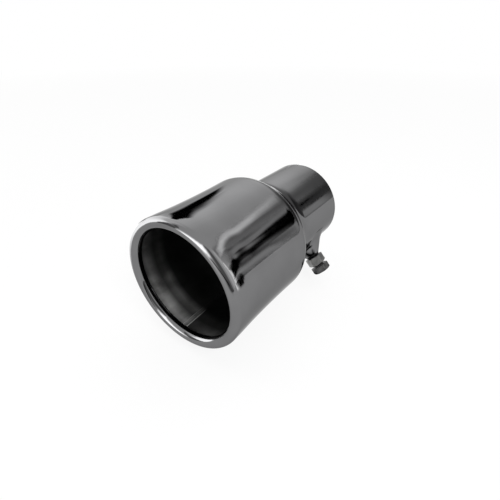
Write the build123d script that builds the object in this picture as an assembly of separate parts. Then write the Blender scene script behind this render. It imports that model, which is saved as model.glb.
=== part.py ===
from build123d import *

import os
from math import acos, cos, degrees, radians, sin, tan

# Bolt-on exhaust tip, in millimetres.
# The axis is Y: the tailpipe goes in at the origin, and the mouth faces -Y. Z is up.

# Neck that slips over a tailpipe of 2.5 inches
tailpipe_radius = 31.75
slip_clearance = 0.25
wall = 1.2                      # sheet thickness of the whole body
bore_radius = tailpipe_radius + slip_clearance
neck_radius = bore_radius + wall

# Body, with distances measured back from the plane of the lip
tip_length = 143.2              # plane of the lip to the inlet end
mouth_radius = 37.4             # clear opening inside the rolled lip
lip_roll_radius = 3.8           # outside of the rolled edge, in section
lip_roll_sweep = 270.0          # how far the edge is rolled, in degrees
rim_band = 6.0                  # straight band behind the roll
waist_radius = 44.15
waist_distance = 22.0
belly_radius = 44.75
belly_distance = 68.8           # where the rear shoulder starts
shoulder_radius = 12.5          # convex bend of the shoulder, outside
neck_blend_radius = 27.0        # concave bend into the neck, outside

# Weld seam that stands up along the inside of the body
seam_angle = 258.0              # round the axis from +X towards +Z, in degrees
seam_width = 4.0
seam_height = 0.4

# Boss pressed out of the neck for the clamp
bolt_angle = -46.5              # round the axis from +X towards +Z, in degrees
bolt_distance = 25.3            # from the inlet end
boss_height = 10.3              # above the crown of the neck
boss_base_radius = 13.0         # where the flank meets the crown of the neck
boss_top_radius = 4.7
boss_hole_clearance = 0.2
boss_fillet = 5.0

# Clamp nut and set bolt with an 8 mm thread
thread_radius = 4.0
thread_clearance = 0.05
across_flats = 13.0
nut_height = 6.8
nut_turn = 56.0                 # turn of the flats about the bolt's axis, in degrees
head_height = 5.3
head_turn = 2.0
head_gap = 1.8                  # open thread between nut and head
bolt_length = 20.0              # under the head
tip_chamfer = 1.0
hex_chamfer_angle = 30.0
hex_chamfer_share = 0.95        # round left on a chamfered end, as a share of the flats

rim_radius = mouth_radius + 2 * lip_roll_radius
lip_y = -tip_length
seat_height = neck_radius + boss_height


def behind_lip(distance):
    return lip_y + distance


def bend_angle():
    """Steepest slope of the S curve, from the drop that its two bends share."""
    drop = belly_radius - neck_radius
    return acos(1 - drop / (shoulder_radius + neck_blend_radius))


def neck_start():
    """Place along the axis where the neck becomes straight."""
    run = (shoulder_radius + neck_blend_radius) * sin(bend_angle())
    return behind_lip(belly_distance) + run


def flank_line(inset):
    """Long side of the body from the rim band over the waist to the shoulder."""
    rim_end = (rim_radius - inset, behind_lip(rim_band))
    waist = (waist_radius - inset, behind_lip(waist_distance))
    belly = (belly_radius - inset, behind_lip(belly_distance))
    return Spline(rim_end, waist, belly, tangents=((0, 1), (0, 1), (0, 1)))


def wall_line(inset):
    """Edges of the wall from the lip to the inlet end, a given depth under the outside."""
    angle = bend_angle()
    flank = flank_line(inset)
    belly = flank @ 1
    bend = shoulder_radius - inset
    turn = (
        belly_radius - shoulder_radius + bend * cos(angle),
        behind_lip(belly_distance) + bend * sin(angle),
    )
    neck = (neck_radius - inset, neck_start())
    band = Line((rim_radius - inset, lip_y), flank @ 0)
    shoulder = TangentArc(belly, turn, tangent=(0, 1))
    blend = TangentArc(turn, neck, tangent=(-sin(angle), cos(angle)))
    straight = Line(neck, (neck_radius - inset, 0))
    return [band, flank, shoulder, blend, straight]


def roll_line(inset):
    """Edge of the rolled lip, from its inner end round the front to the rim."""
    centre = (rim_radius - lip_roll_radius, lip_y)
    return CenterArc(centre, lip_roll_radius - inset, 0, -lip_roll_sweep)


def make_wall():
    """The body's sheet as one section, turned round the axis."""
    outer = wall_line(0)
    inner = wall_line(wall)
    outer_roll = roll_line(0)
    inner_roll = roll_line(wall)
    inlet_edge = Line(outer[-1] @ 1, inner[-1] @ 1)
    rolled_edge = Line(outer_roll @ 1, inner_roll @ 1)
    section = make_face(Curve() + outer + inner + [outer_roll, inner_roll, inlet_edge, rolled_edge])
    return revolve(section, Axis.Y)


def make_seam():
    """Flat weld bead along the inside of the flank, rooted in the wall."""
    root = flank_line(wall / 2)
    crest = flank_line(wall + seam_height)
    ends = [Line(root @ 0, crest @ 0), Line(root @ 1, crest @ 1)]
    section = make_face(Curve() + [root, crest] + ends)
    spread = degrees(seam_width / waist_radius)
    return Rot(0, -seam_angle - spread / 2, 0) * revolve(section, Axis.Y, spread)


def bolt_plane():
    """Plane on the axis whose normal runs out along the clamp bolt."""
    angle = radians(bolt_angle)
    return Plane(origin=(0, -bolt_distance, 0), x_dir=(0, 1, 0), z_dir=(cos(angle), 0, sin(angle)))


def boss_cone(inset, top):
    """Flank of the boss as a full cone, from half way down the bore up to a height."""
    slope = (boss_base_radius - boss_top_radius) / boss_height
    flank_inset = inset * (1 + slope**2) ** 0.5
    crown = boss_base_radius - flank_inset
    low = bore_radius / 2
    foot = crown + slope * (neck_radius - low)
    head = crown + slope * (neck_radius - top)
    cone = Cone(foot, head, top - low, align=(Align.CENTER, Align.CENTER, Align.MIN))
    return on_bolt_axis(cone, low)


def on_bolt_axis(shape, height):
    return bolt_plane() * (Pos(0, 0, height) * shape)


def bolt_axis_cylinder(radius, low, high):
    cylinder = Cylinder(radius, high - low, align=(Align.CENTER, Align.CENTER, Align.MIN))
    return on_bolt_axis(cylinder, low)


def make_boss():
    """Solid cone that stands in the thickness of the neck wall."""
    middle_radius = bore_radius + wall / 2
    neck_core = Rot(90, 0, 0) * Cylinder(middle_radius, 2 * tip_length)
    return boss_cone(0, seat_height) - neck_core


def boss_crease(shape):
    """Edge where the flank of the boss meets the outside of the neck."""
    crossings = shape.edges().filter_by(GeomType.BSPLINE)
    return crossings.filter_by(lambda edge: abs(edge.center().Y + bolt_distance) < boss_base_radius)


def make_body():
    body = make_wall() + make_seam() + make_boss()
    body = fillet(boss_crease(body), boss_fillet)
    hollow = boss_cone(wall, seat_height - wall)
    bolt_hole = bolt_axis_cylinder(thread_radius + boss_hole_clearance, 0, seat_height)
    return body - hollow - bolt_hole


def hex_end_cone(height):
    """Cone whose narrow top end rounds off the corners of a hexagon."""
    top = across_flats / 2 * hex_chamfer_share
    foot = top + height / tan(radians(hex_chamfer_angle))
    return Cone(foot, top, height, align=(Align.CENTER, Align.CENTER, Align.MIN))


def hexagon(height, turn):
    """Upright hexagon prism with its top corners rounded off."""
    outline = RegularPolygon(across_flats / 2, 6, major_radius=False)
    prism = extrude(Rot(0, 0, turn) * outline, height)
    return prism & hex_end_cone(height)


def make_nut():
    """Nut with a square foot on the boss and its outer corners rounded off."""
    bore = Cylinder(thread_radius + thread_clearance, 3 * nut_height)
    return on_bolt_axis(hexagon(nut_height, nut_turn) - bore, seat_height)


def make_bolt():
    up = (Align.CENTER, Align.CENTER, Align.MIN)
    shank = Cylinder(thread_radius, bolt_length, align=up)
    shank = chamfer(shank.edges().sort_by(Axis.Z)[0], tip_chamfer)
    head = Pos(0, 0, bolt_length) * hexagon(head_height, head_turn)
    underside = seat_height + nut_height + head_gap
    return on_bolt_axis(shank + head, underside - bolt_length)


def main():
    os.makedirs("parts", exist_ok=True)
    parts = {
        "tip_body": make_body(),
        "clamp_nut": make_nut(),
        "clamp_bolt": make_bolt(),
    }
    for name, shape in parts.items():
        export_step(shape, os.path.join("parts", name + ".step"))
        print(name, round(shape.volume), "cubic mm")


main()
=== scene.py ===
import bmesh
import bpy
import numpy as np
from mathutils import Matrix, Vector


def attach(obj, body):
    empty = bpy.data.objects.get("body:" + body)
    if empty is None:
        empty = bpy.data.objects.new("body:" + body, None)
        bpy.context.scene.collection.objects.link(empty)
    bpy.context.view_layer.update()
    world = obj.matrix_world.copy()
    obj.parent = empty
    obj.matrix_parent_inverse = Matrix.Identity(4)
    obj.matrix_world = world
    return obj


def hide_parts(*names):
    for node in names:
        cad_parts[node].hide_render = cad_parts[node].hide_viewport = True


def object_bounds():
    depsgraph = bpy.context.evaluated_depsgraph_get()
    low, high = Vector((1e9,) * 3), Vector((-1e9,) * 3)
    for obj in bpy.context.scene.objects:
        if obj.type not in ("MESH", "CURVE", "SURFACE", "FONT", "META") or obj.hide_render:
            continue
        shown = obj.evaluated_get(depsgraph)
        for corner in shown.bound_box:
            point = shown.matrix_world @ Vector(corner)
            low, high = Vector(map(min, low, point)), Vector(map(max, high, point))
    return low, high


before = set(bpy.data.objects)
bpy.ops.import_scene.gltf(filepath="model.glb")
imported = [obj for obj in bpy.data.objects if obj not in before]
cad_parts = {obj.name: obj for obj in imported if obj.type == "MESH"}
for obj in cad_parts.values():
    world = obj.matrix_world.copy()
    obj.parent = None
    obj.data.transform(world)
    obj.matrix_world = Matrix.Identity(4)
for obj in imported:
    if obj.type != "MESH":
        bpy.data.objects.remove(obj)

cadBox = [list(corner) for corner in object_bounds()]
mm = 0.001
weldWithin = 1e-6     # metres: points closer than this become one
sliverWithin = 1e-7   # metres: edges shorter than this go
nearZero = 1e-6
print("frame loaded:", ", ".join(sorted(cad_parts)))


# meshes from arrays

def gridFaces(index, wrapRows=False, wrapColumns=False):
    # quads between neighbours of a grid of vertex numbers, closed on itself where it wraps
    if wrapRows:
        index = np.concatenate([index, index[:1]], axis=0)
    if wrapColumns:
        index = np.concatenate([index, index[:, :1]], axis=1)
    quads = np.stack([index[:-1, :-1], index[:-1, 1:], index[1:, 1:], index[1:, :-1]], axis=-1)
    return quads.reshape(-1, 4)


def meshPiece(name, points, faces, sharpAngle=60.0, marks=None):
    # millimetre points and quads become a smooth mesh at the origin, doubles merged, faces outwards
    mesh = bpy.data.meshes.new(name)
    mesh.from_pydata((points * mm).tolist(), [], faces.tolist())
    for markName, values in (marks or {}).items():
        layer = mesh.attributes.new(markName, "FLOAT", "POINT")
        layer.data.foreach_set("value", np.asarray(values, dtype=np.float32).ravel())
    work = bmesh.new()
    work.from_mesh(mesh)
    bmesh.ops.remove_doubles(work, verts=work.verts, dist=weldWithin)
    bmesh.ops.dissolve_degenerate(work, edges=work.edges, dist=sliverWithin)
    bmesh.ops.recalc_face_normals(work, faces=work.faces)
    work.to_mesh(mesh)
    work.free()
    mesh.polygons.foreach_set("use_smooth", np.ones(len(mesh.polygons), dtype=bool))
    mesh.set_sharp_from_angle(angle=np.radians(sharpAngle))
    piece = bpy.data.objects.new(name, mesh)
    bpy.context.scene.collection.objects.link(piece)
    return piece


def smoothStep(t):
    # 0 to 1 with level ends: 3t^2 - 2t^3
    t = np.clip(t, 0.0, 1.0)
    return t * t * (3.0 - 2.0 * t)


def smoothMax(a, b, width):
    # the larger of two heights, with a round blend as wide as given where they cross
    h = np.clip(0.5 + 0.5 * (a - b) / width, 0.0, 1.0)
    return b + (a - b) * h + width * h * (1.0 - h)


# the body: one sheet wall turned round the axis, with the boss raised on its neck

bodySizes = {
    "tipLength": 143.2,       # plane of the lip to the inlet end
    "mouthRadius": 37.4,
    "rollRadius": 3.8,
    "rollSweep": 270.0,
    "rimTurn": (-2.0, 11.0),  # distances back from the plane of the lip: the rim turns into the flare
    "waistTurn": (13.0, 23.0),
    "waistGain": 0.0202,      # slope given back at the waist
    "bellyTurn": (20.0, 66.0),
    "bellyGain": 0.058,       # slope given back along the belly
    "bellyRadius": 44.8,
    "bellyBack": 68.8,        # the shoulder starts here
    "shoulderRadius": 12.5,
    "blendRadius": 27.0,
    "boreRadius": 32.0,
    "wall": 1.2,
    "seamAngle": 258.0,       # weld seam inside, round from +X towards +Z
    "seamWidth": 4.0,
    "seamHeight": 0.4,
    "seamFlank": (1.1, 0.5),  # outer edge and width of its flank, as shares of half its width
    "seamStart": (2.0, 6.0),  # it rises between these distances
    "seamFade": 6.0,          # and sinks over this one before the shoulder
    "rippleLength": 1.3,      # scales along the weld
    "rippleHeight": 0.04,
    "rippleBow": 0.8,
    "paintedLightSide": (203.0, 259.0),  # painted light on the inside wall between these angles, painted shade away from them
    "paintedLightFade": (16.0, 4.0),     # degrees over which it starts at each of them
    "edgeRound": 0.3,         # broken edge at the inlet and at the end of the roll
    "around": 224,            # mesh columns round the axis
    "seamColumns": 21,        # finer ones on the weld
    "seamMargins": (1.15, 1.3),  # how far those reach and where plain ones stop, as shares of half its width
    "outsideRows": (72, 20),  # mesh rows along the flank and along each bend
    "insideRows": (36, 10),
    "rollRows": (54, 18),     # outside and inside of the roll
    "inletRows": 7,
    "edgeRows": 6,
    "flankSamples": 2001,
    "sharpAngle": 50.0,
}
bossSizes = {
    "angle": -46.5,
    "back": 117.9,
    "height": 10.3,
    "baseRadius": 13.0,
    "topRadius": 4.7,
    "holeRadius": 4.2,
    "blend": 2.8,
    "topRound": 0.3,
    "halfWindow": 18.0,       # along the axis, the patch that the boss is woven into
    "halfTurn": 38.0,         # round the axis, in degrees
    "cells": 32,
    "rings": 44,
}


def neckRadius():
    return bodySizes["boreRadius"] + bodySizes["wall"]


def bendAngle():
    # slope that the two bends of the S curve share: their drops add up to belly minus neck
    size = bodySizes
    drop = size["bellyRadius"] - neckRadius()
    return np.arccos(1.0 - drop / (size["shoulderRadius"] + size["blendRadius"]))


def neckStart():
    size = bodySizes
    return size["bellyBack"] + (size["shoulderRadius"] + size["blendRadius"]) * np.sin(bendAngle())


def rimRadius():
    return bodySizes["mouthRadius"] + 2.0 * bodySizes["rollRadius"]


def runningSum(values, step):
    return np.concatenate([[0.0], np.cumsum(0.5 * (values[1:] + values[:-1]) * step)])


def flankRadius(s):
    # slope along the side: a dip behind the rim, given back at the waist and along the belly, level at the end
    # the radius is its running sum, and the dip is as deep as the step from rim to belly needs
    size = bodySizes
    fine = np.linspace(0.0, size["bellyBack"], size["flankSamples"])
    step = fine[1] - fine[0]
    rimLow, rimHigh = size["rimTurn"]
    waistLow, waistHigh = size["waistTurn"]
    bellyLow, bellyHigh = size["bellyTurn"]
    level = 1.0 - smoothStep((fine - bellyHigh) / (size["bellyBack"] - bellyHigh))
    dip = smoothStep((fine - rimLow) / (rimHigh - rimLow)) * level
    gain = size["waistGain"] * smoothStep((fine - waistLow) / (waistHigh - waistLow))
    gain = (gain + size["bellyGain"] * np.clip((fine - bellyLow) / (bellyHigh - bellyLow), 0.0, 1.0)) * level
    dipSum, gainSum = runningSum(dip, step), runningSum(gain, step)
    depth = (rimRadius() - size["bellyRadius"] + gainSum[-1]) / dipSum[-1]
    return rimRadius() + np.interp(s, fine, gainSum - depth * dipSum)


def wallLine(inset, flankSteps, bendSteps):
    # one side of the sheet from rim to inlet, as distance back and radius: flank, two arcs, straight neck
    size, b = bodySizes, bossSizes
    steep = bendAngle()
    flankS = np.linspace(0.0, size["bellyBack"], flankSteps + 1)[:-1]
    turn = np.linspace(0.0, steep, bendSteps + 1)[:-1]
    shoulder = size["shoulderRadius"] - inset
    shoulderS = size["bellyBack"] + shoulder * np.sin(turn)
    shoulderR = size["bellyRadius"] - size["shoulderRadius"] + shoulder * np.cos(turn)
    blend = size["blendRadius"] + inset
    blendS = neckStart() - blend * np.sin(turn[::-1] + turn[1])
    blendR = neckRadius() + size["blendRadius"] - blend * np.cos(turn[::-1] + turn[1])
    low, high = b["back"] - b["halfWindow"], b["back"] + b["halfWindow"]
    neckS = np.concatenate([
        [neckStart()],
        np.linspace(low, high, b["cells"] + 1),
        np.linspace(high, size["tipLength"] - size["edgeRound"], size["inletRows"] + 1)[1:],
    ])
    s = np.concatenate([flankS, shoulderS, blendS, neckS])
    straight = np.full(neckS.shape, neckRadius() - inset)
    r = np.concatenate([flankRadius(flankS) - inset, shoulderR, blendR, straight])
    return s, r


def rollLine(inset, steps):
    # the sheet's edge rolled inwards: an arc from the rim round the front and back into the mouth
    size = bodySizes
    turn = np.radians(np.linspace(0.0, size["rollSweep"], steps + 1))
    radius = size["rollRadius"] - inset
    return -radius * np.sin(turn), size["mouthRadius"] + size["rollRadius"] + radius * np.cos(turn)


def roundedEnd(start, end, bulge):
    # half-round edge that joins the two skins of the sheet
    t = np.linspace(0.0, np.pi, bodySizes["edgeRows"] + 1)[1:-1, None]
    middle = (start + end) / 2.0
    line = middle + (start - middle) * np.cos(t) + bulge * np.sin(t)
    return line[:, 0], line[:, 1]


def wallSection():
    # closed section: outside from inlet to rim, the roll out and back, inside to the inlet, and its edge
    size = bodySizes
    frontRows, backRows = size["rollRows"]
    outS, outR = wallLine(0.0, *size["outsideRows"])
    inS, inR = wallLine(size["wall"], *size["insideRows"])
    rollS, rollR = rollLine(0.0, frontRows)
    backS, backR = rollLine(size["wall"], backRows)
    tip = roundedEnd(np.array([rollS[-1], rollR[-1]]), np.array([backS[-1], backR[-1]]),
                     np.array([0.0, size["edgeRound"]]))
    end = roundedEnd(np.array([inS[-1], inR[-1]]), np.array([outS[-1], outR[-1]]),
                     np.array([size["edgeRound"], 0.0]))
    s = np.concatenate([outS[::-1], rollS[1:], tip[0], backS[::-1], inS[1:], end[0]])
    r = np.concatenate([outR[::-1], rollR[1:], tip[1], backR[::-1], inR[1:], end[1]])
    counts = [len(outS), len(rollS) - 1 + len(tip[0]), len(backS), len(inS) - 1, len(end[0])]
    skin = np.repeat(["outside", "roll", "rollBack", "inside", "edge"], counts)
    return s, r, skin


def aroundAngles():
    # even angles round the axis, with the boss window's own lines and finer ones at the seam
    size, b = bodySizes, bossSizes
    low, high = b["angle"] - b["halfTurn"], b["angle"] + b["halfTurn"]
    window = np.linspace(low, high, b["cells"] + 1)
    rest = np.linspace(high, low + 360.0, size["around"] - b["cells"] + 1)[1:-1]
    half = np.degrees(0.5 * size["seamWidth"] / size["bellyRadius"])
    reach, clear = (half * share for share in size["seamMargins"])
    fine = size["seamAngle"] + np.linspace(-reach, reach, size["seamColumns"])
    rest = rest[np.abs(rest - size["seamAngle"]) > clear]
    rest = np.sort(np.concatenate([rest, fine]))
    return np.radians(np.concatenate([window, rest])), len(window)


def bossHeight(s, turn, inset):
    # distance from the tip's axis to a cone set across the neck, cut flat at its seat
    b = bossSizes
    k = (b["baseRadius"] - b["topRadius"]) / b["height"]
    c = b["baseRadius"] - inset * np.sqrt(1.0 + k * k) + k * neckRadius()
    y = s - b["back"]
    across, along = np.sin(turn) ** 2, np.cos(turn)
    p, q, w = across - (k * along) ** 2, 2.0 * c * k * along, y * y - c * c
    root = np.sqrt(np.maximum(q * q - 4.0 * p * w, 0.0))
    p = np.where(np.abs(p) < nearZero, nearZero, p)
    cone = (-q + root) / (2.0 * p)
    cone = np.where((cone > 0.0) & (y * y < c * c), cone, 0.0)
    seat = (neckRadius() + b["height"] - inset) / along
    return -smoothMax(-cone, -seat, b["topRound"])


def neckSkin(s, angle, inset):
    # the neck's radius with the boss raised out of it, round at the crease
    turn = angle - np.radians(bossSizes["angle"])
    plain = np.full(s.shape, neckRadius() - inset)
    return smoothMax(bossHeight(s, turn, inset), plain, bossSizes["blend"])


def turned(s, r, angle):
    # distance back, radius and angle to a place: the axis is Y, with the inlet end at zero
    return np.stack([r * np.cos(angle), s - bodySizes["tipLength"], r * np.sin(angle)], axis=-1)


def bossPatch(s, angle, inset):
    # rings from the square rim of the window in to the round bolt hole
    b = bossSizes
    rimS = np.concatenate([s[:, 0], s[-1, 1:], s[-2::-1, -1], s[0, -2:0:-1]])
    rimA = np.concatenate([angle[:, 0], angle[-1, 1:], angle[-2::-1, -1], angle[0, -2:0:-1]])
    middle = np.radians(b["angle"])
    seat = neckRadius() + b["height"] - inset
    way = np.arctan2((rimA - middle) / np.radians(b["halfTurn"]), (rimS - b["back"]) / b["halfWindow"])
    holeS = b["back"] + b["holeRadius"] * np.cos(way)
    holeA = middle + np.arcsin(b["holeRadius"] * np.sin(way) / seat)
    t = np.linspace(0.0, 1.0, b["rings"] + 1)[:, None]
    ringS = rimS + (holeS - rimS) * t
    ringA = rimA + (holeA - rimA) * t
    return turned(ringS, neckSkin(ringS, ringA, inset), ringA)


def seamBead(s, angle):
    # flat-topped bead with round flanks and fine scales, fading at the lip and at the shoulder
    size = bodySizes
    away = np.abs(angle - np.radians(size["seamAngle"])) * size["bellyRadius"] / (0.5 * size["seamWidth"])
    edge, flank = size["seamFlank"]
    start, full = size["seamStart"]
    crown = smoothStep((edge - away) / flank)
    bowed = s + size["rippleBow"] * away**2
    scales = size["rippleHeight"] * np.sin(2.0 * np.pi * bowed / size["rippleLength"])
    rise = smoothStep((s - start) / (full - start))
    sink = smoothStep((s - size["bellyBack"] + size["seamFade"]) / size["seamFade"])
    return crown * rise * (1.0 - sink) * (size["seamHeight"] + scales)


def paintedLightSide(angle):
    # mask for painted light: 1 on the side left of the weld, where light falls in at the mouth, down to 0 past
    # the weld and up the far wall
    size = bodySizes
    low, high = np.radians(size["paintedLightSide"])
    lowFade, highFade = np.radians(size["paintedLightFade"])
    turn = np.mod(angle, 2.0 * np.pi)
    return smoothStep((turn - low) / lowFade + 0.5) * smoothStep((high - turn) / highFade + 0.5)


def makeBody():
    size, b = bodySizes, bossSizes
    s, r, skin = wallSection()
    angle, windowCount = aroundAngles()
    gridS, gridA = np.meshgrid(s, angle, indexing="ij")
    gridR = np.broadcast_to(r[:, None], gridS.shape).copy()
    inside = (skin == "inside")[:, None]
    bead = np.where(inside, seamBead(gridS, gridA), 0.0)
    points = turned(gridS, gridR - bead, gridA).reshape(-1, 3)
    index = np.arange(gridS.size).reshape(gridS.shape)
    faces = gridFaces(index, wrapRows=True, wrapColumns=True).reshape(len(s), len(angle), 4)
    keep = np.ones(faces.shape[:2], dtype=bool)
    onWindow = np.abs(s - b["back"]) <= b["halfWindow"] + nearZero
    clouds, quads, count, holes = [points], [], gridS.size, []
    for side, inset in (("outside", 0.0), ("inside", size["wall"])):
        rows = np.flatnonzero(onWindow & (skin == side))
        keep[rows[0]:rows[-1], :windowCount - 1] = False
        patch = bossPatch(gridS[rows, :windowCount], gridA[rows, :windowCount], inset)
        number = np.arange(patch.shape[0] * patch.shape[1]).reshape(patch.shape[:2]) + count
        clouds.append(patch.reshape(-1, 3))
        quads.append(gridFaces(number, wrapColumns=True))
        holes.append(number[-1])
        count += number.size
    # the two skins run opposite ways along the section, so the hole's inner ring is matched by place
    cloud = np.concatenate(clouds)
    outer, inner = holes
    match = np.argmin(np.linalg.norm(cloud[outer][:, None] - cloud[inner][None], axis=-1), axis=1)
    quads.append(gridFaces(np.stack([outer, inner[match]]), wrapColumns=True))
    satin = np.isin(skin, ["rollBack", "inside"]).astype(float)[:, None] * np.ones(gridS.shape)
    satin = np.concatenate([satin.ravel(), np.zeros(len(clouds[1])), np.ones(len(clouds[2]))])
    seam = np.concatenate([bead.ravel() / size["seamHeight"], np.zeros(len(cloud) - gridS.size)])
    # mask for painted light on the inside wall, 1 where light falls in at the mouth
    paintedLight = paintedLightSide(np.arctan2(cloud[:, 2], cloud[:, 0]))
    return meshPiece("exhaust_tip_body", cloud, np.concatenate([faces[keep]] + quads), size["sharpAngle"],
                     {"satin": satin, "seam": seam, "paintedLight": paintedLight})


body = makeBody()
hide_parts("tip_body")
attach(body, "tip")
print("body made:", len(body.data.polygons), "faces")


# the clamp: a hexagon nut on the boss and a threaded hexagon bolt through it

clampSizes = {
    "flats": 13.0,
    "cornerSharp": 46.0,      # higher is sharper at the upright edges
    "chamferShare": 0.95,     # round left on a chamfered end, as a share of the flats
    "chamferAngle": 30.0,
    "chamferRound": 0.12,
    "facetColumns": 16,       # mesh columns on each flat
    # depths of the rows that crowd towards an end face
    "endDepths": (0.0, 0.04, 0.1, 0.2, 0.32, 0.46, 0.62, 0.8, 1.0, 1.3),
    "sharpAngle": 32.0,
}
nutSizes = {
    "height": 6.8,
    "turn": 56.0,
    "boreRadius": 4.05,
    "countersink": 0.45,
    "footBevel": 0.15,
    "sideRows": (1.5, 3.0, 4.5),
}
boltSizes = {
    "radius": 4.0,
    "length": 20.0,
    "pitch": 1.25,
    "threadDepth": 0.7,
    "crestShare": 0.14,       # flat crest, as a share of half a pitch
    "flankShare": 0.62,
    "runOut": (0.3, 0.9),     # plain shank under the head, and the length over which the thread fades
    "tipChamfer": 1.0,
    "headHeight": 5.3,
    "headTurn": 2.0,
    "headGap": 1.8,           # open thread between nut and head
    "headRows": 5,            # mesh rows up the head's flats
    "headRowsEnd": 1.6,       # how far under its top they stop
    "topRing": 0.6,           # ring on the head's top, as a share of its edge
    "rowsPerTurn": 14,
}


def clampAngles(turn):
    # angles round the bolt, crowded towards the six corners, the first of them at the given turn
    n = clampSizes["facetColumns"]
    share = np.sin(np.linspace(-1.0, 1.0, n + 1)[:-1] * np.pi / 2.0)
    face = np.radians(30.0) * (1.0 + share)
    return (np.radians(turn) + np.radians(60.0) * np.arange(6)[:, None] + face).ravel()


def hexRadius(angle, turn):
    # distance to the nearest flat along each angle, with the corners rounded by a power mean
    p = clampSizes["cornerSharp"]
    flats = np.cos(angle[:, None] - np.radians(turn + 30.0) - np.radians(60.0) * np.arange(6))
    return 0.5 * clampSizes["flats"] / np.sum(np.maximum(flats, 0.0) ** p, axis=1) ** (1.0 / p)


def chamferCone(depth):
    # cone at a hexagon's end: radius grows with the depth under the end face
    c = clampSizes
    return 0.5 * c["flats"] * c["chamferShare"] + depth / np.tan(np.radians(c["chamferAngle"]))


def onBolt(height, radius, angle):
    # height above the tip's axis along the bolt, radius and angle round it, to a place
    lean = np.radians(bossSizes["angle"])
    x, y = radius * np.cos(angle), radius * np.sin(angle)
    outward = np.array([np.cos(lean), 0.0, np.sin(lean)])
    alongTip = np.array([0.0, 1.0, 0.0])
    sideways = np.cross(outward, alongTip)
    centre = np.array([0.0, bossSizes["back"] - bodySizes["tipLength"], 0.0])
    return centre + height[..., None] * outward + x[..., None] * alongTip + y[..., None] * sideways


def seatHeight():
    return neckRadius() + bossSizes["height"]


def rowsUnderEnd(top):
    # heights of the rows up to an end face, ever closer towards it
    return top - np.array(clampSizes["endDepths"])[::-1]


def cutCorners(hexagon, depth):
    # the smaller of hexagon and chamfer cone at each depth under the end face, with a round edge
    return -smoothMax(-hexagon[None], -chamferCone(depth[:, None]), clampSizes["chamferRound"])


def makeNut():
    n = nutSizes
    angle = clampAngles(n["turn"])
    hexagon = hexRadius(angle, n["turn"])
    side = np.concatenate([[0.0, n["footBevel"], *n["sideRows"]], rowsUnderEnd(n["height"])])
    outer = cutCorners(hexagon, n["height"] - side)
    outer[0] -= n["footBevel"]
    mouth = n["boreRadius"] + n["countersink"]
    boreZ = np.array([n["height"], n["height"] - n["countersink"], n["countersink"], 0.0])
    boreR = np.array([mouth, n["boreRadius"], n["boreRadius"], mouth])
    z = np.concatenate([side, boreZ])
    rows = np.concatenate([outer, np.broadcast_to(boreR[:, None], (len(boreR), len(angle)))])
    height = seatHeight() + np.broadcast_to(z[:, None], rows.shape)
    points = onBolt(height, rows, np.broadcast_to(angle, rows.shape))
    index = np.arange(rows.size).reshape(rows.shape)
    faces = gridFaces(index, wrapRows=True, wrapColumns=True)
    return meshPiece("clamp_hex_nut", points.reshape(-1, 3), faces, clampSizes["sharpAngle"])


def threadRadius(z, angle):
    # a crest that climbs one pitch a turn: straight flanks between a flat crest and a flat root
    b = boltSizes
    place = np.mod(z / b["pitch"] - angle / (2.0 * np.pi), 1.0)
    flank = np.abs(2.0 * place - 1.0)
    groove = smoothStep((flank - b["crestShare"]) / b["flankShare"])
    plain, fade = b["runOut"]
    runOut = smoothStep((b["length"] - plain - z) / fade)
    return b["radius"] - b["threadDepth"] * groove * runOut


def makeBolt():
    b = boltSizes
    angle = clampAngles(b["headTurn"])
    rows = int(b["length"] / b["pitch"] * b["rowsPerTurn"])
    shankZ = np.linspace(0.0, b["length"], rows + 1)
    tipCone = b["radius"] - b["tipChamfer"] + shankZ
    shank = np.minimum(threadRadius(shankZ[:, None], angle[None]), tipCone[:, None])
    top = b["length"] + b["headHeight"]
    headSide = np.linspace(b["length"], top - b["headRowsEnd"], b["headRows"])
    headZ = np.concatenate([headSide, rowsUnderEnd(top)])
    head = cutCorners(hexRadius(angle, b["headTurn"]), top - headZ)
    closed = np.zeros((1, len(angle)))
    topRing = b["topRing"] * head[-1:]
    radius = np.concatenate([closed, shank, head, topRing, closed])
    z = np.concatenate([[0.0], shankZ, headZ, [top, top]])
    foot = seatHeight() + nutSizes["height"] + b["headGap"] - b["length"]
    height = foot + np.broadcast_to(z[:, None], radius.shape)
    points = onBolt(height, radius, np.broadcast_to(angle, radius.shape))
    faces = gridFaces(np.arange(radius.size).reshape(radius.shape), wrapColumns=True)
    return meshPiece("clamp_hex_bolt", points.reshape(-1, 3), faces, clampSizes["sharpAngle"])


nut = makeNut()
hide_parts("clamp_nut")
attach(nut, "tip")
bolt = makeBolt()
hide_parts("clamp_bolt")
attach(bolt, "bolt")
print("clamp made:", len(nut.data.polygons), "nut faces,", len(bolt.data.polygons), "bolt faces")


# finishes, with painted light and shade inside the tip

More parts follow.
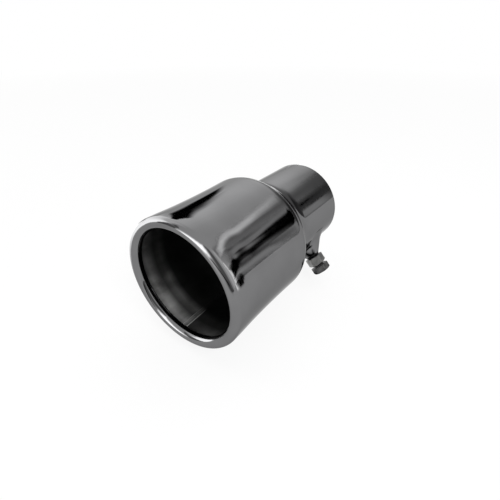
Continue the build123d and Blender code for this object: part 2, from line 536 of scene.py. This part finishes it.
evenly = (1.0, 1.0, 1.0)
chromeLook = {
    "colour": (0.185, 0.185, 0.188),
    "edgeTint": (0.55, 0.55, 0.55),        # mirror strength at a glancing angle
    "roughness": (0.03, 0.075),
    "insideLitColour": (0.42, 0.42, 0.415),   # the inside colour at its brightest painted light, just behind the lip
    "insideReach": (4.0, 64.0),            # depths that the shares below run between
    # painted light and shade by depth, as the share of it that shows: a lit ring, a painted dark gap, a
    # fainter lit ring, then painted shade deeper in
    "paintedDepthLight": (
        (0.0, 0.5), (0.08, 1.0), (0.2, 0.2), (0.28, 0.4),
        (0.37, 0.05), (0.7, 0.05), (0.95, 0.15),
    ),
    "paintedShadeShare": 0.28,                     # painted shade: the share of the inside colour left away from the lit side
    "insideRoughness": (0.42, 0.62),
    "insideMetal": 0.4,                    # unpolished sheet inside scatters most of its light
    # weld bead: colour of the painted highlights on its flanks, and how strongly they show
    "weldHighlightColour": (0.66, 0.66, 0.65),
    "weldHighlightShare": 0.9,
    "weldHighlightReach": (16.0, 27.0),             # depths over which the painted highlights on the weld fade into the painted shade
    "weldHighlightLines": ((0.08, 0.0), (0.4, 1.0), (0.6, 1.0), (0.95, 0.12)),  # painted highlights on both flanks, the crown dim
    # each noise as scale, stretch and detail
    "smudge": (38.0, evenly, 5.0),
    "buffing": (30.0, (1.0, 60.0, 1.0), 6.0),  # fine rings left by the polishing wheel
    "waves": (26.0, evenly, 1.0),              # sheet that isn't quite true
    "drawn": (150.0, (1.0, 0.02, 1.0), 2.0),   # faint lines along the tube
    "blotch": (60.0, (1.0, 0.6, 1.0), 5.0),
    "scale": (70.0, (1.0, 0.45, 1.0), 6.0),
    "grain": (900.0, evenly, 2.0),
    # noise levels, and what they become
    "smudgeShares": ((0.3, 0.94), (0.62, 1.05)),
    "blotchRange": (0.35, 0.65, 0.3, 1.15),
    "buffingRange": (0.35, 0.75),
    "scaleRange": (0.3, 0.7),
    # each bump as depth in metres and strength
    "wavesBump": (0.0008, 0.12),
    "drawnBump": (0.0003, 0.35),
    "buffingBump": (0.00001, 0.25),
    "grainBump": (0.0002, 0.35),
}
zincLook = {
    "nut": {"pale": (0.34, 0.34, 0.33), "dull": (0.17, 0.17, 0.17), "roughness": (0.34, 0.55)},
    "bolt": {"pale": (0.15, 0.15, 0.15), "dull": (0.05, 0.05, 0.05), "roughness": (0.32, 0.5)},
    "mottle": (420.0, evenly, 5.0),
    "patches": (160.0, evenly, 3.0),
    "range": (0.3, 0.7),
    "mottleBump": (0.0003, 0.3),
    "patchesBump": (0.0006, 0.15),
}


def newMaterial(name):
    material = bpy.data.materials.new(name)
    material.use_nodes = True
    return material, material.node_tree, material.node_tree.nodes["Principled BSDF"]


def addNode(tree, kind, values=None, **settings):
    # one node, with plain settings and input values by socket name or number
    node = tree.nodes.new(kind)
    for key, value in settings.items():
        setattr(node, key, value)
    for key, value in (values or {}).items():
        node.inputs[key].default_value = value
    return node


def noiseAt(tree, scale, stretch, detail):
    # noise on Object coordinates, stretched by its own mapping
    where = addNode(tree, "ShaderNodeTexCoord")
    mapping = addNode(tree, "ShaderNodeMapping", {"Scale": stretch})
    noise = addNode(tree, "ShaderNodeTexNoise", {"Scale": scale, "Detail": detail})
    tree.links.new(where.outputs["Object"], mapping.inputs["Vector"])
    tree.links.new(mapping.outputs["Vector"], noise.inputs["Vector"])
    return noise.outputs["Fac"]


def spread(tree, source, low, high, toLow, toHigh):
    # one range of values carried over to another, and held at its ends
    limits = {"From Min": low, "From Max": high, "To Min": toLow, "To Max": toHigh}
    node = addNode(tree, "ShaderNodeMapRange", limits)
    tree.links.new(source, node.inputs["Value"])
    return node.outputs["Result"]


def blendValue(tree, share, first, second):
    node = addNode(tree, "ShaderNodeMix", data_type="FLOAT")
    for socket, source in ((0, share), (2, first), (3, second)):
        tree.links.new(source, node.inputs[socket])
    return node.outputs[0]


def ramp(tree, source, stops):
    # colour ramp with its stops given as place and colour
    node = addNode(tree, "ShaderNodeValToRGB")
    elements = node.color_ramp.elements
    while len(elements) < len(stops):
        elements.new(0.5)
    for element, (place, colour) in zip(elements, stops):
        element.position = place
        element.color = (*colour, 1.0)
    tree.links.new(source, node.inputs["Fac"])
    return node.outputs["Color"]


def depthInside(tree, low, high):
    # 0 to 1 between two depths in millimetres behind the plane of the lip
    where = addNode(tree, "ShaderNodeTexCoord")
    split = addNode(tree, "ShaderNodeSeparateXYZ")
    tree.links.new(where.outputs["Object"], split.inputs["Vector"])
    low, high = ((depth - bodySizes["tipLength"]) * mm for depth in (low, high))
    return spread(tree, split.outputs["Y"], low, high, 0.0, 1.0)


def product(tree, first, second):
    node = addNode(tree, "ShaderNodeMath", operation="MULTIPLY")
    tree.links.new(first, node.inputs[0])
    tree.links.new(second, node.inputs[1])
    return node.outputs[0]


def scaled(colour, factor):
    return tuple(channel * factor for channel in colour)


def blendColour(tree, share, first, second):
    node = addNode(tree, "ShaderNodeMix", data_type="RGBA")
    tree.links.new(share, node.inputs["Factor"])
    tree.links.new(first, node.inputs["A"])
    tree.links.new(second, node.inputs["B"])
    return node.outputs["Result"]


def addBump(tree, shader, layers):
    # bumps laid on one another, each as height, depth in metres and strength
    normal = None
    for height, distance, strength in layers:
        node = addNode(tree, "ShaderNodeBump", {"Distance": distance, "Strength": strength})
        tree.links.new(height, node.inputs["Height"])
        if normal:
            tree.links.new(normal, node.inputs["Normal"])
        normal = node.outputs["Normal"]
    tree.links.new(normal, shader.inputs["Normal"])


def mark(tree, name):
    return addNode(tree, "ShaderNodeAttribute", attribute_name=name).outputs["Fac"]


def insideColourAndPaintedLight(tree):
    # inside sheet with painted light and shade by depth, painted shade away from the lit side, random
    # blotches, and painted highlights on the weld's two flanks
    look = chromeLook
    # painted light and shade by depth
    shares = [(place, scaled(look["insideLitColour"], share)) for place, share in look["paintedDepthLight"]]
    sheet = ramp(tree, depthInside(tree, *look["insideReach"]), shares)
    blotch = spread(tree, noiseAt(tree, *look["blotch"]), *look["blotchRange"])
    # painted shade away from the side where light falls in
    paintedLight = spread(tree, mark(tree, "paintedLight"), 0.0, 1.0, look["paintedShadeShare"], 1.0)
    dimmed = addNode(tree, "ShaderNodeVectorMath", operation="SCALE")
    tree.links.new(sheet, dimmed.inputs[0])
    tree.links.new(product(tree, blotch, paintedLight), dimmed.inputs["Scale"])
    # painted highlights on both flanks of the weld bead, faded with depth into the painted shade
    lines = ramp(tree, mark(tree, "seam"), [(place, (level,) * 3) for place, level in look["weldHighlightLines"]])
    fade = spread(tree, depthInside(tree, *look["weldHighlightReach"]), 0.0, 1.0, look["weldHighlightShare"], 0.0)
    weld = addNode(tree, "ShaderNodeMix", {"B": (*look["weldHighlightColour"], 1.0)}, data_type="RGBA")
    tree.links.new(product(tree, lines, fade), weld.inputs["Factor"])
    tree.links.new(dimmed.outputs["Vector"], weld.inputs["A"])
    return weld.outputs["Result"]


def polishedChrome():
    look = chromeLook
    material, tree, shader = newMaterial("polished_dark_chrome")
    shader.inputs["Specular Tint"].default_value = (*look["edgeTint"], 1.0)
    satin = mark(tree, "satin")
    tree.links.new(spread(tree, satin, 0.0, 1.0, 1.0, look["insideMetal"]), shader.inputs["Metallic"])
    smudges = [(place, scaled(look["colour"], share)) for place, share in look["smudgeShares"]]
    outside = ramp(tree, noiseAt(tree, *look["smudge"]), smudges)
    # outside chrome, and inside the sheet with its painted light and shade
    tree.links.new(blendColour(tree, satin, outside, insideColourAndPaintedLight(tree)), shader.inputs["Base Color"])
    buffing = noiseAt(tree, *look["buffing"])
    bright = spread(tree, buffing, *look["buffingRange"], *look["roughness"])
    dull = spread(tree, noiseAt(tree, *look["scale"]), *look["scaleRange"], *look["insideRoughness"])
    tree.links.new(blendValue(tree, satin, bright, dull), shader.inputs["Roughness"])
    addBump(tree, shader, [
        (noiseAt(tree, *look["waves"]), *look["wavesBump"]),
        (noiseAt(tree, *look["drawn"]), *look["drawnBump"]),
        (buffing, *look["buffingBump"]),
        (product(tree, noiseAt(tree, *look["grain"]), satin), *look["grainBump"]),
    ])
    return material


def platedSteel(name, look):
    material, tree, shader = newMaterial(name)
    shader.inputs["Metallic"].default_value = 1.0
    low, high = zincLook["range"]
    mottle = noiseAt(tree, *zincLook["mottle"])
    patches = noiseAt(tree, *zincLook["patches"])
    colour = ramp(tree, patches, [(low, look["dull"]), (high, look["pale"])])
    tree.links.new(colour, shader.inputs["Base Color"])
    tree.links.new(spread(tree, mottle, low, high, *look["roughness"]), shader.inputs["Roughness"])
    addBump(tree, shader, [(mottle, *zincLook["mottleBump"]), (patches, *zincLook["patchesBump"])])
    return material


def dress(piece, material):
    piece.data.materials.clear()
    piece.data.materials.append(material)


dress(body, polishedChrome())
dress(nut, platedSteel("dull_zinc_nut", zincLook["nut"]))
dress(bolt, platedSteel("dark_zinc_bolt", zincLook["bolt"]))
print("finishes set")


# studio: a white table, three soft lamps, and pale and dark cards that only the metal mirrors

studio = {
    "azimuth": 35.86,                       # the photograph's view
    "elevation": 32.933,
    "eye": (133.01, -257.58, 135.93),
    "lens": 26.006,
    "sensor": 36.0,
    "clipStart": 0.005,
    "floorHalf": 30000.0,
    "floorColour": (0.88, 0.88, 0.88),
    "floorRoughness": 0.9,
    "floorDrop": 9.0,                       # room under the tip for the bolt at its full travel
    "floorGlow": 0.88,                      # share of the table's white that isn't light and shadow
    "floorFade": (0.4, 1.6),                # metres out from the tip over which the rest fades
    "skyLight": 0.25,
    "centre": (0.0, -95.0, 0.0),            # directions below are from here
    "cardDistance": 3000.0,
    "cardStep": 40.0,
    "cardCells": 40,
    "tableCardLift": 1.0,
}
lampSet = {
    # azimuth from +Y towards +X, elevation, distance, width, height, radiance
    "ceiling": (0.0, 79.0, 1.5, 2.0, 2.0, 1.6),
    "left_fill": (-110.0, 35.0, 1.2, 0.8, 0.8, 1.2),
    "mouth_fill": (115.0, 42.0, 1.2, 0.4, 0.4, 16.0),
}
cardSet = {
    # corners as azimuth and elevation, round from the lower left, in degrees; the nearest card comes first
    # then softness across and up, opacity, and glow
    "crest_flag": (((28, 20), (45, 11), (40, 26), (29, 32)), (0.4, 0.2), 1.0, 0.0),
    "flare_flag": (((42, 17), (53, 2), (49, 22), (42, 26)), (0.1, 0.4), 1.0, 0.0),
    "low_flag": (((47, -3), (55, -16), (51, 9), (48, 7)), (0.1, 0.8), 1.0, 0.0),
    "rim_strip": (((52, -1), (54, -1), (50, 31), (48, 30)), (0.5, 0.1), 1.0, 3.0),
    "left_flag": (((-55, 10), (-46, 6), (-43, 23), (-51, 33)), (0.3, 0.4), 1.0, 0.0),
    "left_flag_top": (((-57, 26), (-42, 21), (-36, 37), (-57, 28)), (0.5, 0.1), 1.0, 0.0),
    "edge_strip": (((0, 44), (51, 32), (32, 44), (23, 45)), (0.7, 0.9), 0.3, 5.5),
    "upper_strip": (((24, 35), (41, 21), (47, 18), (39, 33)), (0.6, 1.0), 0.9, 0.8),
    "lower_strip": (((30, -4), (46, -1), (45, 22), (29, 12)), (0.5, 0.7), 0.9, 0.8),
    "right_strip": (((44, -4), (50, 3), (46, 12), (44, 14)), (0.3, 0.9), 0.8, 1.0),
    "crest_glow": (((-35, -10), (-5, -5), (-15, 5), (-35, 5)), (0.4, 0.8), 1.0, 6.5),
    "shoulder_flag": (((10, -30), (50, -5), (30, 30), (-5, 35)), (0.4, 0.6), 0.8, 0.0),
    "mid_veil": (((20, 25), (55, -20), (45, 30), (35, 40)), (0.6, 0.8), 1.0, 0.0),
    "back_veil": (((-60, -30), (45, -5), (60, 60), (-25, 35)), (0.9, 0.5), 0.7, 0.0),
    "back_glow": (((-150, 20), (-50, -10), (20, 45), (-85, 85)), (0.2, 1.0), 0.8, 2.0),
    "left_window": (((-125, -20), (-55, 0), (-50, 40), (-130, 40)), (0.2, 0.5), 1.0, 5.0),
    "left_gap_flag": (((-145, 0), (-120, -10), (-130, 55), (-145, 35)), (0.2, 0.2), 0.7, 0.0),
    "front_window": (((-200, 25), (-120, -70), (-145, 25), (-200, 60)), (0.6, 0.8), 1.0, 5.5),
    "dark_front_flag": (((115, -15), (205, -5), (170, 10), (130, 10)), (0.1, 0.9), 1.0, 0.0),
    "front_flag": (((80, -15), (175, -10), (160, 60), (125, 65)), (0.5, 0.2), 0.7, 0.0),
    "side_glow": (((55, -20), (75, -10), (95, 70), (40, 60)), (0.1, 0.4), 1.0, 1.5),
}
tableSet = {
    # corners on the table in millimetres, softness, opacity, glow
    # a black sheet under the clamp: a painted shadow that only the metal mirrors
    "clamp_shade": (((26, -51), (70, -25), (70, -12), (26, -24)), (0.5, 0.5), 1.0, 0.0),
    "rim_table_flag": (((270, 50), (3000, 2210), (3000, 2730), (270, 70)), (0.1, 0.3), 1.0, 0.0),
    "rim_table_strip": (((280, 35), (3000, 2000), (3000, 2210), (280, 57)), (0.1, 0.8), 1.0, 3.0),
    "front_table_flag": (((900, -3000), (3000, -3000), (3000, -350), (80, -325)), (0.1, 0.1), 0.8, 0.0),
    "left_table_glow": (((-2650, -1850), (-60, -165), (-140, -60), (-3050, 480)), (0.1, 0.2), 1.0, 5.0),
    "front_table_glow": (((-900, -1350), (-550, -2650), (100, -350), (25, -170)), (1.0, 0.5), 1.0, 2.5),
}


def direction(azimuth, elevation):
    a, e = np.radians(azimuth), np.radians(elevation)
    return np.array([np.sin(a) * np.cos(e), np.cos(a) * np.cos(e), np.sin(e)])


def makeCamera():
    a, e = np.radians(studio["azimuth"]), np.radians(studio["elevation"])
    back = Vector((np.sin(a) * np.cos(e), -np.cos(a) * np.cos(e), np.sin(e)))
    right = Vector((np.cos(a), np.sin(a), 0.0))
    up = back.cross(right)
    camera = bpy.data.objects.new("camera", bpy.data.cameras.new("camera"))
    camera.data.lens = studio["lens"]
    camera.data.sensor_width = studio["sensor"]
    camera.data.sensor_fit = "HORIZONTAL"
    camera.data.clip_start = studio["clipStart"]
    turn = Matrix((right, up, back)).transposed().to_4x4()
    camera.matrix_world = Matrix.Translation(Vector(studio["eye"]) * mm) @ turn
    bpy.context.scene.collection.objects.link(camera)
    bpy.context.scene.camera = camera


def seenWhite(tree):
    # 1 for rays from the camera, from metal and through glass, 0 for the light that falls on things
    path = addNode(tree, "ShaderNodeLightPath")
    first = addNode(tree, "ShaderNodeMath", operation="MAXIMUM")
    both = addNode(tree, "ShaderNodeMath", operation="MAXIMUM")
    tree.links.new(path.outputs["Is Camera Ray"], first.inputs[0])
    tree.links.new(path.outputs["Is Glossy Ray"], first.inputs[1])
    tree.links.new(first.outputs[0], both.inputs[0])
    tree.links.new(path.outputs["Is Transmission Ray"], both.inputs[1])
    return both.outputs[0]


def makeWorld():
    world = bpy.data.worlds.new("studio")
    bpy.context.scene.world = world
    world.use_nodes = True
    tree = world.node_tree
    sky = tree.nodes["Background"]
    level = spread(tree, seenWhite(tree), 0.0, 1.0, studio["skyLight"], 1.0)
    tree.links.new(level, sky.inputs["Strength"])
    sky.inputs["Color"].default_value = (1.0, 1.0, 1.0, 1.0)


def makeFloor():
    half, level = studio["floorHalf"], cadBox[0][2] / mm - studio["floorDrop"]
    square = ((-half, -half), (half, -half), (half, half), (-half, half))
    corners = np.array([(x, y, level) for x, y in square])
    floor = meshPiece("floor", corners, np.array([[0, 1, 2, 3]]))
    material, tree, shader = newMaterial("pale_table")
    shader.inputs["Base Color"].default_value = (*studio["floorColour"], 1.0)
    shader.inputs["Roughness"].default_value = studio["floorRoughness"]
    shader.inputs["Specular IOR Level"].default_value = 0.0
    glow = addNode(tree, "ShaderNodeEmission", {"Color": (1.0, 1.0, 1.0, 1.0), "Strength": 1.0})
    where = addNode(tree, "ShaderNodeTexCoord")
    away = addNode(tree, "ShaderNodeVectorMath", operation="LENGTH")
    tree.links.new(where.outputs["Object"], away.inputs[0])
    near, far = studio["floorFade"]
    white = spread(tree, away.outputs["Value"], near, far, studio["floorGlow"], 1.0)
    share = product(tree, seenWhite(tree), white)
    mix = addNode(tree, "ShaderNodeMixShader")
    tree.links.new(share, mix.inputs[0])
    tree.links.new(shader.outputs[0], mix.inputs[1])
    tree.links.new(glow.outputs[0], mix.inputs[2])
    tree.links.new(mix.outputs[0], tree.nodes["Material Output"].inputs["Surface"])
    dress(floor, material)


def makeLamp(name, azimuth, elevation, distance, width, height, radiance):
    # a soft panel that faces the tip: power is pi times area times radiance, and mirrors don't show it
    lamp = bpy.data.lights.new(name, "AREA")
    lamp.shape = "RECTANGLE"
    lamp.size = width
    lamp.size_y = height
    lamp.energy = np.pi * width * height * radiance
    panel = bpy.data.objects.new(name, lamp)
    away = Vector(direction(azimuth, elevation))
    panel.location = Vector(studio["centre"]) * mm + away * distance
    panel.rotation_euler = away.to_track_quat("Z", "Y").to_euler()
    panel.visible_camera = False
    panel.visible_glossy = False
    bpy.context.scene.collection.objects.link(panel)


def cardCloth(name, glow):
    # clear where the veil is 0, and an even glow, or black, where it is 1
    material, tree, shader = newMaterial(name)
    tree.nodes.remove(shader)
    clear = addNode(tree, "ShaderNodeBsdfTransparent")
    cloth = addNode(tree, "ShaderNodeEmission", {"Color": (1.0, 1.0, 1.0, 1.0), "Strength": glow})
    mix = addNode(tree, "ShaderNodeMixShader")
    tree.links.new(mark(tree, "veil"), mix.inputs[0])
    tree.links.new(clear.outputs[0], mix.inputs[1])
    tree.links.new(cloth.outputs[0], mix.inputs[2])
    tree.links.new(mix.outputs[0], tree.nodes["Material Output"].inputs["Surface"])
    return material


def cardGrid():
    line = np.linspace(0.0, 1.0, studio["cardCells"] + 1)
    return np.meshgrid(line, line, indexing="ij")


def fillCorners(corners):
    # values between four corners, straight along each side
    u, v = (axis[..., None] for axis in cardGrid())
    lowLeft, lowRight, highRight, highLeft = (np.array(corner) for corner in corners)
    return (1.0 - v) * (lowLeft * (1.0 - u) + lowRight * u) + v * (highLeft * (1.0 - u) + highRight * u)


def addCard(name, points, softness, opacity, glow):
    # a sheet with soft edges that only mirrors show
    u, v = cardGrid()
    across, upwards = softness
    inset = np.minimum(np.minimum(u, 1.0 - u) / across, np.minimum(v, 1.0 - v) / upwards)
    veil = opacity * smoothStep(2.0 * inset)
    faces = gridFaces(np.arange(u.size).reshape(u.shape))
    card = meshPiece(name, points.reshape(-1, 3), faces, marks={"veil": veil})
    dress(card, cardCloth(name, glow))
    card.visible_camera = False
    card.visible_diffuse = False
    card.visible_shadow = False


def makeCard(name, distance, corners, softness, opacity, glow):
    # a patch of a large sphere round the tip
    place = fillCorners(corners)
    ray = np.moveaxis(direction(place[..., 0], place[..., 1]), 0, -1)
    addCard(name, np.array(studio["centre"]) + distance * ray, softness, opacity, glow)


def makeTableCard(name, corners, softness, opacity, glow):
    # a flat sheet just over the table
    place = fillCorners(corners)
    level = np.full(place.shape[:2] + (1,), cadBox[0][2] / mm + studio["tableCardLift"])
    addCard(name, np.concatenate([place, level], axis=-1), softness, opacity, glow)


makeCamera()
makeWorld()
makeFloor()
for lampName, setting in lampSet.items():
    makeLamp(lampName, *setting)
for place, (cardName, setting) in enumerate(cardSet.items()):
    makeCard(cardName, studio["cardDistance"] + place * studio["cardStep"], *setting)
for cardName, setting in tableSet.items():
    makeTableCard(cardName, *setting)
bpy.context.scene.view_settings.view_transform = "Standard"
print("studio set:", len(lampSet), "lamps,", len(cardSet) + len(tableSet), "cards")
